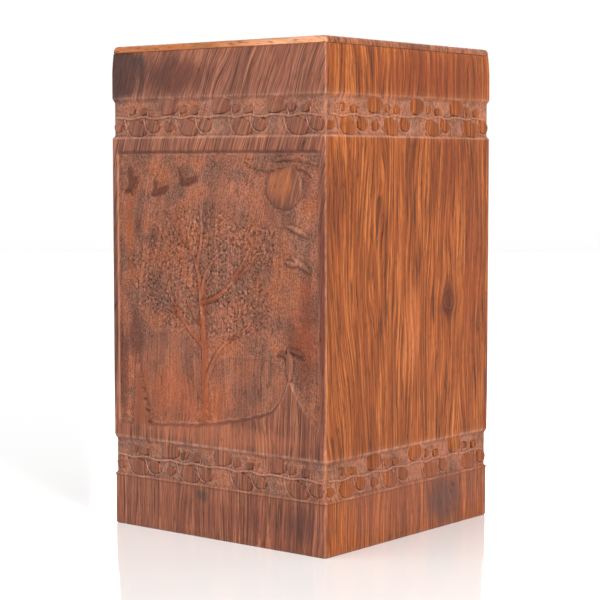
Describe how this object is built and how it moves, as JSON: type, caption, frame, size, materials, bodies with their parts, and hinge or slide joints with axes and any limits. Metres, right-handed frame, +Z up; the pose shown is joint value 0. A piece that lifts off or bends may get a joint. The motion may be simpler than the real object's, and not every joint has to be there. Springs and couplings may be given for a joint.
{
  "type": "cremation urn box",
  "caption": "Square upright carved rosewood box with a lift-off lid, leaf bands round it and a tree, moon and birds in relief on its front.",
  "frame": {"origin": "middle of the underside, on the surface that the box stands on", "axes": "+Z up, along the height; the face with the carved picture looks along -Y, and +X is to its right"},
  "size_m": [0.159, 0.159, 0.28],
  "materials": {
    "front_wood": "satin oiled rosewood, pinkish brown, with a matt stippled floor in the carving",
    "right_wood": "satin oiled rosewood, warm orange brown, with a knot",
    "back_wood": "satin oiled rosewood, mid brown",
    "left_wood": "satin oiled rosewood, darker red brown",
    "lid_wood": "satin oiled rosewood, with pale sapwood along one edge",
    "base_wood": "plain sanded rosewood, hardly polished"
  },
  "bodies": {
    "root": {"front_board": "front_wood", "right_board": "right_wood", "back_board": "back_wood", "left_board": "left_wood", "lid": "lid_wood", "base_board": "base_wood"}
  },
  "joints": []
}
